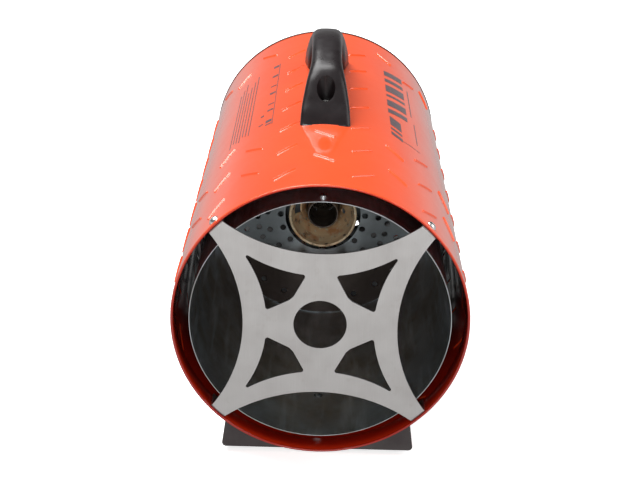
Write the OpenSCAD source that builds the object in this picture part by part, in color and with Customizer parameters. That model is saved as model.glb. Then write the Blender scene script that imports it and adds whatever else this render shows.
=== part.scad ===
// Portable gas-fired forced-air heater: a horizontal steel barrel on a sheet-metal base.
// The outlet faces -Y, +Z is up and X runs left to right. The origin is on the floor, under the
// middle of the object. "Depth" always means the distance behind the barrel's front rim.

/* [Barrel] */
// Outer diameter of the barrel
barrel_d = 180; // [178:0.5:182]
// Length of the barrel's sheet
barrel_l = 341; // [339:0.5:343]
// Height of the barrel's axis above the floor
axis_z = 150; // [149:0.5:152]
// Thickness of the barrel's sheet
sheet = 0.8; // [0.7:0.05:0.9]

/* [Combustion chamber] */
// Outer diameter of the inner chamber
chamber_d = 158; // [157:0.5:159]
// Length of the inner chamber
chamber_l = 204; // [202:0.5:206]
// Depth of the perforated burner plate
plate_depth = 170; // [169:0.5:172]
// Diameter of the opening around the burner cup
plate_bore_d = 54; // [53:0.5:55]
// Diameter of the holes in the burner plate
vent_d = 4; // [3:0.1:4.5]

/* [Front guard] */
// Thickness of the guard's sheet
guard_sheet = 1.2; // [1:0.1:1.4]
// Radius of each concave side
guard_side_r = 97; // [95:0.5:98]
// Distance of a concave side from the axis, at its middle
guard_waist = 46.4; // [46:0.2:48]
// Diameter of the centre hole
guard_hole_d = 32; // [28:0.5:36]

/* [Carrying handle] */
// Depth of the handle's front end
handle_depth = 106; // [105:0.5:108]
// Length of the handle along the barrel
handle_l = 156; // [154:0.5:158]
// Height of the grip's top above the barrel
handle_h = 38.5; // [37:0.5:40]
// Width of the handle's feet
foot_w = 34.5; // [33.5:0.5:35.5]
// Width of the grip
grip_w = 20.5; // [19.5:0.5:21.5]

/* [Base] */
// Width of the base at its bottom edge
base_w = 136; // [135:0.5:137]
// Depth of the base's front face
base_depth = 90.5; // [89:0.5:92]
// Length of the base
base_l = 223.5; // [223:0.5:224]
// Lean of each side wall from upright, in degrees
base_lean = 9.5; // [9:0.25:10]
// Height of the rubber feet
feet_h = 4; // [3.5:0.25:4.5]

/* [Fan] */
// Diameter swept by the blades
fan_d = 152; // [146:1:156]
// Number of blades
blade_count = 5; // [3:1:6]
// Pitch of the blades, in degrees
blade_pitch = 28; // [22:1:30]

/* [Hidden] */
$fn = 96;

gap = 0.1;                              // clearance around a screw or a plain fitted piece
fit = 0.05;                             // radial clearance of a running fit
cut = 1;                                // how far a cutting tool runs past a face

barrel_r = barrel_d / 2;
shell_in_r = barrel_r - sheet;
chamber_r = chamber_d / 2;
chamber_sheet = 0.5;
chamber_in_r = chamber_r - chamber_sheet;
rear_guard_depth = 6;
overall_l = barrel_l + rear_guard_depth;
front_y = -overall_l / 2;
hem_l = 14;                             // the sheet is folded back inside the front rim
hem_in_r = barrel_r - 2 * sheet;

guard_arms = [45, 135, 225, 315];
tab_r = hem_in_r - gap;                 // outer face of the guard's tabs
tab_w = 11;
tab_l = 14;
tab_bend = 1.6;
guard_screw_depth = 6;
side_centre = guard_waist + guard_side_r;
window_side_r = 82;                     // long sides of a window in the guard
window_side_centre = 114.2;
window_hub_r = 24.3;
rear_guard_screw_angles = [100, 180, 260];

chamber_start = guard_sheet + 0.3;
seam_rivet_depths = [9.5, 55, 100, 145];
spacer_angles = [60, 180, 300];
spacer_depths = [50, 190];
spacer_d = 8;

cup_lip_r = 24.5;
cup_lip_depth = plate_depth - 2;
cup_neck_depth = plate_depth + 20;
tube_in_r = 10;
tube_out_r = 11;
tube_start = plate_depth + 2;
tube_end = 214;
jet_end = 230;
probe_x = 14;                           // igniter to the right, thermocouple to the left
probe_drop = 34;                        // both sit this far below the axis
probe_front = 150;
probe_back = 190;
insulator_r = 4;
thermocouple_r = 2.5;
strip_z = 16;                           // half height of the burner bracket
strip_depth = tube_end - 8;

stack_depth = 272;                      // front face of the motor's laminations
stack_l = 24;
bore_r = 14.3;
rotor_r = 14;
shaft_r = 4;
bush_r = 7;
bridge_gap = 8;
fan_depth = 310;
hub_r = 14;
hub_l = 16;

foot_front = handle_depth;
foot_back = handle_depth + handle_l;
handle_mid = handle_depth + handle_l / 2;
leg_run = 28;                           // plan length of a sloping leg's outer face
grip_t = 13;
foot_l = 28;
recess_d = 12;
recess_inset = 17.5;
recess_floor = 8;
handle_arc_r = 143;

box_z = feet_h;
box_sheet = 1;
flange = 22;
panel_t = 1.2;
panel_depth = base_depth + base_l;
panel_face = panel_depth + panel_t;
corner_r = 3;
switch_x = 34;
switch_z = 44;
piezo_z = 40;
valve_x = -34;
button_z = 48;
inlet_z = 22;
gland_z = 24;
valve_back = 306;
valve_front = 268;
foot_x = 54;
foot_inset = 17;
rocker_pivot = panel_face - 1.2;
rocker_r = 9;
rocker_tilt = 10;
strap_w = 14;
barrel_screw_angles = [158, 202];

pipe_depth = 244;
lead_depth = 256;
probe_lead_depth = 224;
motor_lead_x = 11;
motor_lead_depth = 284;

// ---- placing -------------------------------------------------------------------------------

// Puts its children at a depth behind the front rim, and at x and a height above the floor.
module at(depth, x = 0, z = 0) {
    translate([x, front_y + depth, z]) children();
}

// Barrel frame: local z runs backwards along the axis and local -y points up.
module in_barrel(depth = 0) {
    translate([0, front_y + depth, axis_z]) rotate([-90, 0, 0]) children();
}

// Turns its children to each angle in turn, clockwise from the top as seen from the front.
module around(angles) {
    for (a = angles) rotate([0, 0, a]) children();
}

// Stands its children on the barrel's surface of radius r: local z points outwards.
module on_barrel(angles, depth, r) {
    in_barrel(depth) around(angles) translate([0, -r, 0]) rotate([90, 0, 0]) children();
}

// ---- shared shapes -------------------------------------------------------------------------

module tube(r_out, r_in, l) {
    difference() {
        cylinder(r = r_out, h = l);
        translate([0, 0, -cut]) cylinder(r = r_in, h = l + 2 * cut);
    }
}

// A domed screw: its head stands on z = 0 and its shank runs down to z = -l.
module pan_screw(d, l, head_d, head_h) {
    dome_r = (head_d * head_d / 4 + head_h * head_h) / (2 * head_h);
    difference() {
        union() {
            intersection() {
                cylinder(d = head_d + 2, h = head_h + 1);
                translate([0, 0, head_h - dome_r]) sphere(dome_r);
            }
            translate([0, 0, -l]) cylinder(d = d, h = l + head_h / 2);
        }
        for (a = [0, 90])
            rotate([0, 0, a])
                translate([-head_d / 4, -head_d / 14, head_h * 0.45])
                    cube([head_d / 2, head_d / 7, head_h]);
    }
}

module hex_nut(width, bore_d, h) {
    difference() {
        cylinder(d = width / cos(30), h = h, $fn = 6);
        translate([0, 0, -cut]) cylinder(d = bore_d, h = h + 2 * cut);
    }
}

// A round bar bent at right angles: straight runs between the corners, with a round elbow at each.
function unit(v) = v / norm(v);
module bent_bar(points, d, bend_r) {
    last = len(points) - 1;
    for (i = [0 : last - 1]) {
        u = unit(points[i + 1] - points[i]);
        a = points[i] + u * (i == 0 ? 0 : bend_r);
        b = points[i + 1] - u * (i == last - 1 ? 0 : bend_r);
        straight_bar(a, b, d);
    }
    for (i = [1 : last - 1]) {
        u = unit(points[i] - points[i - 1]);
        v = unit(points[i + 1] - points[i]);
        elbow(points[i], u, v, d, bend_r);
    }
}

module straight_bar(a, b, d) {
    w = unit(b - a);
    side = abs(w[2]) > 0.5 ? [1, 0, 0] : [0, 0, 1];
    v = cross(w, side);
    multmatrix([
        [side[0], v[0], w[0], a[0]],
        [side[1], v[1], w[1], a[1]],
        [side[2], v[2], w[2], a[2]],
        [0, 0, 0, 1]
    ]) cylinder(d = d, h = norm(b - a));
}

module elbow(corner, u, v, d, bend_r) {
    n = cross(-v, u);
    c = corner + (v - u) * bend_r;
    multmatrix([
        [-v[0], u[0], n[0], c[0]],
        [-v[1], u[1], n[1], c[1]],
        [-v[2], u[2], n[2], c[2]],
        [0, 0, 0, 1]
    ]) rotate_extrude(angle = 90) translate([bend_r, 0]) circle(d = d);
}

// ---- barrel --------------------------------------------------------------------------------

module outer_shell() {
    color("orangered") difference() {
        union() {
            in_barrel(sheet) tube(barrel_r, shell_in_r, barrel_l - sheet);
            in_barrel(sheet) tube(barrel_r, hem_in_r, hem_l - sheet);
            in_barrel(sheet) rotate_extrude() translate([shell_in_r, 0]) circle(sheet, $fn = 32);
        }
        on_barrel(guard_arms, guard_screw_depth, barrel_r - 3) cylinder(d = 3.6, h = 6);
        on_barrel(rear_guard_screw_angles, barrel_l - 7, barrel_r - 3) cylinder(d = 3.6, h = 6);
        on_barrel([90, 270], stack_depth - 8, barrel_r - 3) cylinder(d = 4.2, h = 6);
        for (depth = [base_depth + 9, panel_depth - 9])
            on_barrel(barrel_screw_angles, depth, barrel_r - 3) cylinder(d = 4.2, h = 6);
        for (depth = [foot_front + recess_inset, foot_back - recess_inset])
            on_barrel([0], depth, barrel_r - 3) cylinder(d = 5.2, h = 6);
        for (p = grommet_places()) at(p[1], p[0], axis_z - barrel_r - 5) cylinder(d = 12, h = 12);
    }
}

// Each place where a pipe or lead passes the barrel's wall: x, depth and the diameter it carries.
function grommet_places() = [
    [0, pipe_depth, 6],
    [probe_x, lead_depth, 4],
    [-probe_x, probe_lead_depth, 3],
    [motor_lead_x, motor_lead_depth, 4]
];

// Rubber rings with a groove for the sheet.
module grommets() {
    ring_h = 7.8;
    groove_h = 5.2;
    color("dimgray") for (p = grommet_places()) at(p[1], p[0]) difference() {
        wall_z = axis_z - sqrt(pow(barrel_r - sheet / 2, 2) - p[0] * p[0]);
        translate([0, 0, wall_z - ring_h / 2]) cylinder(d = 17, h = ring_h);
        translate([0, 0, wall_z - groove_h / 2]) tube(9, 5.9, groove_h);
        translate([0, 0, wall_z - ring_h / 2 - cut]) cylinder(d = p[2] + 2 * gap, h = ring_h + 2 * cut);
    }
}

// ---- handle --------------------------------------------------------------------------------

// Height of the grip's curved top, or of its underside, above the axis.
function arch(depth, top) = barrel_r + top - handle_arc_r
    + sqrt(handle_arc_r * handle_arc_r - pow(depth - handle_mid, 2));

// Side outline: sloping legs and a gently arched grip over the hand opening.
module handle_side() {
    low = barrel_r - 4;
    shoulder = foot_front + leg_run + 4;
    steps = 12;
    span = 2 * (handle_mid - shoulder);
    top = [for (i = [0 : steps]) let (d = shoulder + span * i / steps) [d, arch(d, handle_h)]];
    in_start = foot_front + foot_l;
    in_edge = in_start + 12;
    in_span = 2 * (handle_mid - in_edge);
    under = [for (i = [0 : steps])
        let (d = in_edge + in_span * i / steps) [d, arch(d, handle_h) - grip_t]];
    difference() {
        polygon(concat([[foot_front, low]], top, [[foot_back, low]]));
        polygon(concat([[in_start, low - 1]], under, [[foot_back - foot_l, low - 1]]));
    }
}

// Front outline: wide at the feet and narrow at the grip.
module handle_front() {
    half = [[foot_w / 2, barrel_r - 4], [foot_w / 2 - 1.2, barrel_r + 11],
        [foot_w / 2 - 4.3, barrel_r + 26], [grip_w / 2, barrel_r + 32],
        [grip_w / 2, barrel_r + handle_h + 2]];
    polygon(concat(half, [for (i = [len(half) - 1 : -1 : 0]) [-half[i][0], half[i][1]]]));
}

module handle() {
    color([0.12, 0.12, 0.13]) difference() {
        intersection() {
            translate([-foot_w, front_y, axis_z]) rotate([90, 0, 90])
                linear_extrude(2 * foot_w) handle_side();
            at(foot_back + 10, 0, axis_z) rotate([90, 0, 0]) linear_extrude(handle_l + 20) handle_front();
        }
        in_barrel(foot_front - cut) cylinder(r = barrel_r + gap, h = handle_l + 2 * cut, $fn = 200);
        for (depth = [foot_front + recess_inset, foot_back - recess_inset])
            on_barrel([0], depth, barrel_r) {
                translate([0, 0, recess_floor]) cylinder(d = recess_d, h = handle_h);
                translate([0, 0, -cut]) cylinder(d = 5.2, h = handle_h);
            }
    }
}

module handle_screws() {
    color("silver") for (depth = [foot_front + recess_inset, foot_back - recess_inset])
        on_barrel([0], depth, barrel_r + recess_floor) pan_screw(5, recess_floor + 6.6, 9.5, 3);
}

module handle_nuts() {
    color("silver") for (depth = [foot_front + recess_inset, foot_back - recess_inset])
        on_barrel([0], depth, shell_in_r - 4.6) hex_nut(8, 5 + gap, 4);
}

// ---- front guard ---------------------------------------------------------------------------

// Rounds the corners of a flat shape without moving its sides.
module rounded(r) {
    offset(r = r, $fn = 24) offset(delta = -r) children();
}

// One window of the guard, on the diagonal between the first two axes. Its outer tip is sharper.
module guard_window() {
    rounded(1.5) window_outline();
    intersection() {
        rounded(1) window_outline();
        translate([38, 38]) square(20);
    }
}

module window_outline() {
    difference() {
        polygon([[8, 34], [16, 18.5], [18.5, 16], [34, 8], [50, 50]]);
        circle(window_hub_r);
        translate([0, window_side_centre]) circle(window_side_r, $fn = 200);
        translate([window_side_centre, 0]) circle(window_side_r, $fn = 200);
    }
}

module guard_plate() {
    difference() {
        circle(tab_r - tab_bend);
        for (a = [0, 90, 180, 270]) rotate([0, 0, a]) {
            translate([side_centre, 0]) circle(guard_side_r, $fn = 240);
            guard_window();
        }
        circle(d = guard_hole_d);
    }
}

// Profile of a tab: the sheet turns back from the guard's plane along the barrel's wall.
module tab_profile() {
    bend = tab_r - tab_bend;
    translate([bend - 1, 0]) square([1, guard_sheet]);
    translate([tab_r - guard_sheet, tab_bend]) square([guard_sheet, tab_l - tab_bend]);
    translate([bend, tab_bend]) intersection() {
        difference() {
            circle(tab_bend, $fn = 32);
            circle(tab_bend - guard_sheet, $fn = 32);
        }
        translate([0, -tab_bend]) square([tab_bend, tab_bend]);
    }
}

module front_guard() {
    color("silver") difference() {
        union() {
            in_barrel() linear_extrude(guard_sheet) guard_plate();
            in_barrel() around(guard_arms) intersection() {
                rotate([0, 0, -98]) rotate_extrude(angle = 16) tab_profile();
                translate([-tab_w / 2, -barrel_r, -cut]) cube([tab_w, barrel_r, tab_l + 2 * cut]);
            }
        }
        on_barrel(guard_arms, guard_screw_depth, shell_in_r - 4) cylinder(d = 3.6, h = 6);
    }
}

module guard_screws() {
    color("white") on_barrel(guard_arms, guard_screw_depth, barrel_r) pan_screw(3.5, 6, 6.6, 1.9);
}

// ---- combustion chamber --------------------------------------------------------------------

module combustion_chamber() {
    color("lightslategray") difference() {
        in_barrel(chamber_start) tube(chamber_r, chamber_in_r, chamber_l);
        for (depth = seam_rivet_depths) on_barrel([0], depth, chamber_r - 3) cylinder(d = 3.4, h = 6);
        for (depth = spacer_depths)
            on_barrel(spacer_angles, depth, chamber_r - 3) cylinder(d = 3.4, h = 6);
        on_barrel([90, 270], strip_depth - 7, chamber_r - 3) cylinder(d = 3.4, h = 6);
    }
}

// Rivets of the chamber's lengthwise seam, on its top.
module seam_rivets() {
    color("white") for (depth = seam_rivet_depths)
        on_barrel([0], depth, chamber_r) {
            cylinder(d = 4.6, h = 1.1);
            translate([0, 0, -2.4]) cylinder(d = 3.2, h = 3);
            translate([0, 0, -chamber_sheet - 1.8]) cylinder(d = 5, h = 1.6);
        }
}

// A rivet: a plain dome on z = 0 and a shank down to z = -l.
module rivet(d, l, head_d, head_h) {
    dome_r = (head_d * head_d / 4 + head_h * head_h) / (2 * head_h);
    intersection() {
        cylinder(d = head_d + 2, h = head_h + 1);
        translate([0, 0, head_h - dome_r]) sphere(dome_r);
    }
    translate([0, 0, -l]) cylinder(d = d, h = l + head_h / 2);
}

// Short sleeves that keep the chamber central in the barrel.
module chamber_spacers() {
    color("gray") for (depth = spacer_depths) difference() {
        intersection() {
            on_barrel(spacer_angles, depth, chamber_r - 2) cylinder(d = spacer_d, h = 16);
            in_barrel(depth - spacer_d) tube(shell_in_r - 0.02, chamber_r + 0.02, 2 * spacer_d);
        }
        on_barrel(spacer_angles, depth, chamber_r - 3) cylinder(d = 3.4, h = 9);
    }
}

// Rivets through the chamber's wall, headed inside it: into the spacers and the bracket's ends.
module chamber_rivets() {
    color("silver") {
        for (depth = spacer_depths)
            on_barrel(spacer_angles, depth, chamber_in_r - 0.15) rotate([180, 0, 0]) rivet(3.2, 6, 6, 1.2);
        on_barrel([90, 270], strip_depth - 7, chamber_in_r - 1.75) rotate([180, 0, 0]) rivet(3.2, 4, 6, 1.2);
    }
}

// Rings of holes around the cup: radius, number of holes and first angle.
vent_rings = [[30.5, 18, 10], [40, 18, 12], [47, 36, 7], [56, 24, 2], [67, 24, 9]];

// Angles of a ring's holes. The inner rings leave out those behind the electrode bracket.
function vent_angles(ring) = [for (i = [0 : ring[1] - 1])
    let (a = ring[2] + i * 360 / ring[1]) if (ring[0] > 60 || abs(a - 180) > 38) a];

module burner_plate() {
    color("slategray") difference() {
        in_barrel(plate_depth) {
            cylinder(r = chamber_in_r - gap, h = 1.2);
            tube(chamber_in_r - gap, chamber_in_r - gap - 1.2, 10);
        }
        in_barrel(plate_depth - cut) {
            cylinder(d = plate_bore_d, h = 4);
            for (ring = vent_rings)
                around(vent_angles(ring)) translate([0, -ring[0], 0]) cylinder(d = vent_d, h = 4, $fn = 24);
            translate([probe_x, probe_drop, 0]) cylinder(r = insulator_r + gap, h = 4);
            translate([-probe_x, probe_drop, 0]) cylinder(r = thermocouple_r + gap, h = 4);
        }
    }
}

// Flared cup in which the flame starts: a rolled lip, a curved bowl and a neck on the mixer tube.
module burner_cup() {
    wall = 1;
    roll_r = 1.1;
    bowl_l = cup_neck_depth - cup_lip_depth;
    neck_r = tube_out_r + 1.1;
    bowl = [[1, 23.9], [5, 23], [10, 20.4], [14, 17.4], [18, 14.2], [bowl_l, neck_r], [bowl_l + 8, neck_r]];
    back = len(bowl) - 1;
    color("tan") difference() {
        in_barrel(cup_lip_depth) {
            translate([0, 0, roll_r]) rotate_extrude()
                translate([cup_lip_r - roll_r, 0]) circle(roll_r, $fn = 32);
            rotate_extrude() polygon(concat(
                [for (p = bowl) [p[1], p[0]]],
                [for (i = [back : -1 : 0]) [max(bowl[i][1] - wall, tube_out_r + gap), bowl[i][0]]]
            ));
        }
        // opening for the pilot flame and a small air hole, both through the bowl
        in_barrel(cup_lip_depth + 8) rotate([0, 0, -80]) translate([-6, -26, 0]) cube([12, 14, 7]);
        in_barrel(cup_lip_depth + 16) rotate([90, 0, 98]) cylinder(d = 4, h = cup_lip_r, $fn = 24);
    }
}

module mixer_tube() {
    color("gray") difference() {
        in_barrel(tube_start) tube(tube_out_r, tube_in_r, tube_end - tube_start);
        // air windows in front of the jet
        in_barrel(tube_end - 13) for (a = [45, 135]) rotate([0, 0, a])
            translate([-4, -20, 0]) cube([8, 40, 4]);
    }
}

// Flat bar across the back of the chamber, with its ends turned forward and riveted.
module burner_bracket() {
    color("gray") difference() {
        in_barrel() intersection() {
            union() {
                translate([-chamber_r, -strip_z, strip_depth]) cube([chamber_d, 2 * strip_z, 2]);
                translate([0, 0, strip_depth - 14]) tube(chamber_in_r - gap, chamber_in_r - 1.6, 16);
            }
            translate([-chamber_r, -strip_z, 0]) cube([chamber_d, 2 * strip_z, strip_depth + 2]);
            cylinder(r = chamber_in_r - gap, h = strip_depth + 2);
        }
        in_barrel(strip_depth - cut) cylinder(r = tube_out_r + gap, h = 4);
        on_barrel([90, 270], strip_depth - 7, chamber_r - 5) cylinder(d = 3.4, h = 6);
    }
}

// Brass injector: a body that closes the mixer tube, a hexagon and the nozzle.
module gas_jet() {
    color("gold") in_barrel() difference() {
        union() {
            translate([0, 0, tube_end]) cylinder(r = tube_out_r, h = 4);
            translate([0, 0, tube_end - 6]) cylinder(r = tube_in_r - gap, h = 7);
            translate([0, 0, tube_end - 15]) cylinder(r = 3.5, h = 12);
            translate([0, 0, tube_end + 3]) cylinder(d = 17, h = jet_end - tube_end - 3, $fn = 6);
        }
        translate([0, 0, tube_end - 16]) cylinder(r = 0.6, h = 20, $fn = 24);
        translate([0, 0, tube_end + 2]) cylinder(d = 6 + 2 * gap, h = 20);
    }
}

// Copper pipe from the valve, up through the barrel's wall and forward into the injector.
module gas_pipe() {
    color("peru") at(0) bent_bar([
        [valve_x, valve_front, 30], [valve_x, pipe_depth, 30], [0, pipe_depth, 30],
        [0, pipe_depth, axis_z], [0, tube_end + 3, axis_z]
    ], 6, 12);
}

// Strip under the cup that carries the igniter and the thermocouple.
module electrode_bracket() {
    color("silver") at(plate_depth + 1.4, 0, axis_z - probe_drop) difference() {
        union() {
            translate([-22, 0, -7]) cube([44, 1.2, 14]);
            translate([-5, 0, -22]) cube([10, 1.2, 20]);
        }
        for (p = [[probe_x, insulator_r], [-probe_x, thermocouple_r]])
            translate([p[0], -cut, 0]) rotate([-90, 0, 0]) cylinder(r = p[1] + gap, h = 4);
    }
}

module igniter_insulator() {
    color("white") in_barrel() translate([probe_x, probe_drop, 0]) difference() {
        union() {
            translate([0, 0, probe_front]) cylinder(r = insulator_r, h = probe_back - probe_front);
            translate([0, 0, plate_depth + 2.8]) cylinder(r = insulator_r + 1.5, h = 4);
        }
        translate([0, 0, probe_front - cut]) cylinder(d = 2 + 2 * fit, h = 60);
    }
}

// Spark wire: out of the insulator and up towards the cup's lip.
module igniter_rod() {
    low = axis_z - probe_drop;
    color("dimgray") at(0) bent_bar([
        [probe_x, probe_back, low], [probe_x, probe_front - 6, low], [probe_x, probe_front - 6, low + 12]
    ], 2, 3);
}

module thermocouple() {
    color("silver") in_barrel() translate([-probe_x, probe_drop, 0]) {
        translate([0, 0, probe_front + 2]) cylinder(r = thermocouple_r, h = probe_back - probe_front - 8);
        translate([0, 0, probe_front + 2]) sphere(thermocouple_r);
        translate([0, 0, plate_depth + 2.8]) cylinder(d = 9, h = 5, $fn = 6);
    }
}

// Thin copper capillary from the thermocouple down to the safety valve.
module thermocouple_lead() {
    low = axis_z - probe_drop;
    color("peru") at(0) bent_bar([
        [-probe_x, probe_back - 6, low], [-probe_x, probe_lead_depth, low],
        [-probe_x, probe_lead_depth, 50], [-24, probe_lead_depth, 50], [-24, valve_front, 50]
    ], 3, 4);
}

module ignition_lead() {
    low = axis_z - probe_drop;
    color("white") at(0) bent_bar([
        [0, piezo_front(), piezo_z], [0, lead_depth, piezo_z], [probe_x, lead_depth, piezo_z],
        [probe_x, lead_depth, low], [probe_x, probe_back, low]
    ], 4, 6);
}

// Snap-disc switch on the chamber's wall, which cuts the gas if the barrel overheats.
module overheat_thermostat() {
    color("saddlebrown") on_barrel([30], 186, chamber_r) {
        difference() {
            cylinder(d = 16, h = 5);
            translate([0, -20, -chamber_r]) rotate([-90, 0, 0]) cylinder(r = chamber_r, h = 40);
        }
        for (x = [-4, 4]) translate([x - 1.5, -0.4, 4]) cube([3, 0.8, 4]);
    }
}

// ---- fan motor -----------------------------------------------------------------------------

// Strap across the barrel that carries the motor, with its ends turned along the wall.
module motor_bracket() {
    half = 18;
    color("gray") difference() {
        in_barrel() intersection() {
            union() {
                translate([-barrel_r, -half, stack_depth - 2]) cube([barrel_d, 2 * half, 2]);
                translate([0, 0, stack_depth - 18]) tube(shell_in_r - gap, shell_in_r - 2, 18);
            }
            translate([-barrel_r, -half, 0]) cube([barrel_d, 2 * half, stack_depth]);
            cylinder(r = shell_in_r - gap, h = stack_depth);
        }
        in_barrel(stack_depth - 4) cylinder(r = bore_r + 0.7, h = 8);
        in_barrel(stack_depth - 4) for (x = [-22, 22]) translate([x, 0, 0]) cylinder(d = 4.2, h = 8);
        on_barrel([90, 270], stack_depth - 8, barrel_r - 5) cylinder(d = 4.2, h = 6);
    }
}

module bracket_screws() {
    color("silver") on_barrel([90, 270], stack_depth - 8, barrel_r) {
        pan_screw(4, 8.6, 8, 2);
        translate([0, 0, -6.2]) hex_nut(7, 4 + gap, 3);
    }
}

// Laminated iron of the shaded-pole motor: round bore above, bar for the coil below.
module motor_stator() {
    color("dimgray") in_barrel(stack_depth) difference() {
        translate([-28, -20, 0]) cube([56, 68, stack_l]);
        translate([0, 0, -cut]) cylinder(r = bore_r, h = stack_l + 2 * cut);
        translate([-16, 19, -cut]) cube([32, 17, stack_l + 2 * cut]);
        for (x = [-22, 22]) translate([x, 0, -cut]) cylinder(d = 4.2, h = stack_l + 2 * cut);
        for (s = [-1, 1]) translate([s * 28, 48, -cut]) rotate([0, 0, 45])
            translate([-4, -4, 0]) cube([8, 8, stack_l + 2 * cut]);
    }
}

module motor_coil() {
    wound = 6;
    color("darkred") in_barrel(stack_depth - wound) difference() {
        translate([-15.7, 24, 0]) cube([31.4, 29, stack_l + 2 * wound]);
        translate([-20, 36 - gap, wound - gap]) cube([40, 12 + 2 * gap, stack_l + 2 * gap]);
    }
}

// One stamped bridge: a strip on two feet with a cup for the bearing.
module motor_bridge() {
    rotor_room = 1.2;
    difference() {
        union() {
            translate([-28, -9, bridge_gap - 2]) cube([56, 18, 2]);
            for (x = [-28, 20]) translate([x, -9, 0]) cube([8, 18, bridge_gap]);
            translate([0, 0, rotor_room]) cylinder(r = bush_r + 1.5, h = bridge_gap + 2 - rotor_room);
        }
        translate([0, 0, -cut]) cylinder(r = bush_r, h = bridge_gap + 2 + 2 * cut);
        for (x = [-22, 22]) translate([x, 0, -cut]) cylinder(d = 4.2, h = bridge_gap + 2 * cut);
    }
}

module motor_bridges() {
    color("silver") {
        in_barrel(stack_depth - 2) mirror([0, 0, 1]) motor_bridge();
        in_barrel(stack_depth + stack_l) motor_bridge();
    }
}

// Sintered bushes that carry the shaft.
module motor_bearings() {
    bush_l = bridge_gap + 1;
    color("goldenrod") for (depth = [stack_depth - 3 - bush_l, stack_depth + stack_l + 1])
        in_barrel(depth) tube(bush_r, shaft_r + fit, bush_l);
}

module motor_screws() {
    l = stack_l + 2 + 2 * bridge_gap;
    color("silver") in_barrel(stack_depth - 2 - bridge_gap) for (x = [-22, 22])
        translate([x, 0, 0]) rotate([180, 0, 0]) pan_screw(4, l, 7, 2);
}

// Mains lead from the terminal block up to the coil.
module motor_lead() {
    color("dimgray") at(0) bent_bar([
        [27, 222, 14], [27, motor_lead_depth, 14], [27, motor_lead_depth, 52],
        [motor_lead_x, motor_lead_depth, 52], [motor_lead_x, motor_lead_depth, axis_z - 53]
    ], 4, 6);
}

module motor_shaft() {
    color("silver") in_barrel(stack_depth - 17) cylinder(r = shaft_r, h = 78);
}

module motor_rotor() {
    color("gray") in_barrel(stack_depth) {
        tube(rotor_r, shaft_r, stack_l);
        for (z = [-0.9, stack_l]) translate([0, 0, z]) tube(rotor_r - 2, shaft_r, 0.9);
    }
}

module fan_blade() {
    r = fan_d / 2;
    intersection() {
        rotate([0, -blade_pitch, 0]) translate([-30, -r - 10, -0.6]) cube([60, r, 1.2]);
        difference() {
            cylinder(r = r, h = 60, center = true);
            cylinder(r = hub_r - 1, h = 70, center = true);
        }
        linear_extrude(60, center = true) polygon([
            [-8, -hub_r + 2], [-25, -r * 0.62], [-26, -r - 1],
            [18, -r - 1], [20, -r * 0.6], [8, -hub_r + 2]
        ]);
    }
}

module fan_wheel() {
    color("lightgray") in_barrel(fan_depth + hub_l / 2) difference() {
        union() {
            cylinder(r = hub_r, h = hub_l, center = true);
            around([for (i = [0 : blade_count - 1]) i * 360 / blade_count]) fan_blade();
        }
        cylinder(r = shaft_r, h = hub_l + 2, center = true);
    }
}

module fan_nut() {
    color("gold") in_barrel(fan_depth + hub_l) hex_nut(10, 2 * shaft_r, 4);
}

// ---- rear guard ----------------------------------------------------------------------------

// Black finger guard over the air intake: a flanged ring, spokes and concentric wires.
module rear_guard() {
    wire = 3;
    ring_z = rear_guard_depth - wire / 2;
    color([0.1, 0.1, 0.1]) difference() {
        in_barrel(barrel_l) {
            tube(barrel_r + 0.4, shell_in_r - 3, 1.6);
            translate([0, 0, -14]) tube(shell_in_r - gap, shell_in_r - 1.3, 15);
            around([for (i = [0 : 7]) i * 45 + 22.5]) translate([0, 0, 1.8]) rotate([90, 0, 0])
                cylinder(d = wire, h = shell_in_r - 1);
            for (r = [18 : 8 : 82]) translate([0, 0, ring_z])
                rotate_extrude() translate([r, 0]) circle(d = wire, $fn = 24);
            translate([0, 0, 1.2]) cylinder(r = 13, h = 3.6);
        }
        on_barrel(rear_guard_screw_angles, barrel_l - 7, shell_in_r - 4) cylinder(d = 3.6, h = 6);
    }
}

module rear_guard_screws() {
    color("silver") on_barrel(rear_guard_screw_angles, barrel_l - 7, barrel_r)
        pan_screw(3.5, 6, 6.6, 1.9);
}

// ---- base ----------------------------------------------------------------------------------

// Outline of the base seen from the front, taken in by a distance from every face.
module base_outline(inset = 0) {
    top_z = axis_z - 40;
    lean = tan(base_lean);
    r = corner_r - min(inset, corner_r - 1);
    side = base_w / 2 - inset / cos(base_lean);
    bottom = inset;
    hull() {
        for (s = [-1, 1]) {
            translate([s * (side - (r + bottom) * lean - r / cos(base_lean) + bottom * lean), bottom + r])
                circle(r, $fn = 32);
            translate([s * (side - (top_z - box_z) * lean - 0.5), top_z - box_z]) square(1, center = true);
        }
    }
}

module base_prism(inset, depth, l) {
    at(depth + l, 0, box_z) rotate([90, 0, 0]) linear_extrude(l) base_outline(inset);
}

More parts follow.
